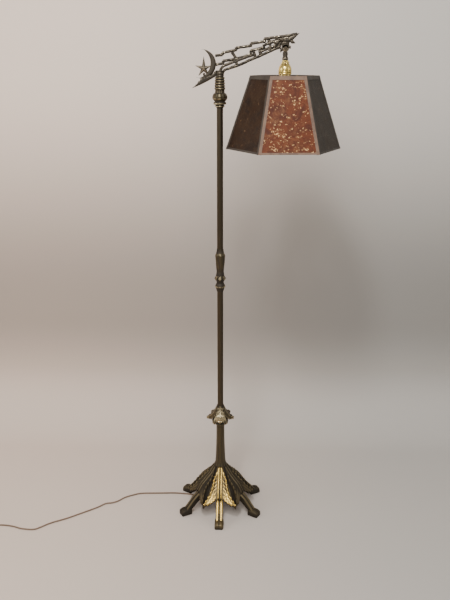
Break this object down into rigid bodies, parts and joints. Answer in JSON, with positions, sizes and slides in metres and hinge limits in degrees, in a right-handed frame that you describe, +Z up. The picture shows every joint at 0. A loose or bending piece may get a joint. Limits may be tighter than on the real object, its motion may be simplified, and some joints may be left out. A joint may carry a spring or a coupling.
{
  "type": "bridge arm floor lamp",
  "caption": "Floor lamp with a spread cast foot, a slim jointed stem and a pierced swivel arm that hangs a tilting socket under a panelled mica shade.",
  "frame": {"origin": "stem axis at floor level, in the middle of the foot circle", "axes": "+Z up along the stem, +X along the arm towards the shade, +Y away from the viewer"},
  "size_m": [1.2082, 0.3278, 1.5532],
  "materials": {
    "cast_bronze": "antique bronze patina, worn bright on ridges",
    "stem_bronze": "steel tube with dark bronze lacquer",
    "polished_brass": "polished",
    "plain_steel": "zinc plated",
    "mica": "shellac bonded mica flakes, glossy",
    "binding": "glued tape",
    "frame_wire": "lacquered wire",
    "liner_fibre": "fibre board",
    "porcelain": "glazed porcelain",
    "dark_phenolic": "moulded phenolic",
    "bulb_glass": "frosted inside",
    "cord_cover": "brown covered lamp cord",
    "tie_cord": "plain band"
  },
  "bodies": {
    "stand": {"base_casting": "cast_bronze", "base_washer": "plain_steel", "base_nut": "plain_steel", "cord_bushing": "dark_phenolic", "lower_column": "cast_bronze", "knop": "cast_bronze", "lower_tube": "stem_bronze", "mid_joint": "cast_bronze", "upper_tube": "stem_bronze", "top_ferrule": "cast_bronze", "lower_tie_pipe": "plain_steel", "upper_tie_pipe": "plain_steel", "pipe_coupling": "plain_steel", "swivel_post": "polished_brass", "swivel_nut": "polished_brass", "stem_lead": "cord_cover", "supply_cord": "cord_cover", "cord_coil": "cord_cover", "coil_tie": "tie_cord", "plug_lead": "cord_cover", "plug_body": "dark_phenolic", "plug_blades": "polished_brass"},
    "arm": {"arm_casting": "cast_bronze", "arm_lead": "cord_cover", "lead_clips": "polished_brass", "knuckle_screw": "polished_brass", "knuckle_nut": "polished_brass"},
    "socket": {"drop_stem": "cast_bronze", "socket_cap": "polished_brass", "cap_set_screw": "polished_brass", "socket_shell": "polished_brass", "socket_liner": "liner_fibre", "socket_core": "porcelain", "screw_shell": "polished_brass", "centre_contact": "polished_brass", "shade_clamp_ring": "polished_brass", "bulb_base": "polished_brass", "bulb_glass": "bulb_glass"},
    "key": {"key_shaft": "polished_brass", "key_paddle": "dark_phenolic"},
    "shade": {"shade_fitter": "polished_brass", "shade_frame": "frame_wire", "mica_panel_1": "mica", "mica_panel_2": "mica", "mica_panel_3": "mica", "mica_panel_4": "mica", "mica_panel_5": "mica", "mica_panel_6": "mica", "corner_binding_1": "binding", "corner_binding_2": "binding", "corner_binding_3": "binding", "corner_binding_4": "binding", "corner_binding_5": "binding", "corner_binding_6": "binding", "top_binding": "binding", "bottom_binding": "binding"}
  },
  "joints": [
    {"name": "arm_swivel", "type": "hinge", "parent": "stand", "child": "arm", "pos_m": [0, 0, 1.4303], "axis": [0, 0, 1], "range_deg": [-170, 170]},
    {"name": "socket_tilt", "type": "hinge", "parent": "arm", "child": "socket", "pos_m": [0.1905, 0, 1.51], "axis": [0, -1, 0], "range_deg": [0, 40]},
    {"name": "key_turn", "type": "hinge", "parent": "socket", "child": "key", "pos_m": [0.1905, 0, 1.422], "axis": [0, -1, 0], "continuous": true},
    {"name": "shade_turn", "type": "hinge", "parent": "socket", "child": "shade", "pos_m": [0.1905, 0, 1.4037], "axis": [0, 0, 1], "continuous": true}
  ]
}
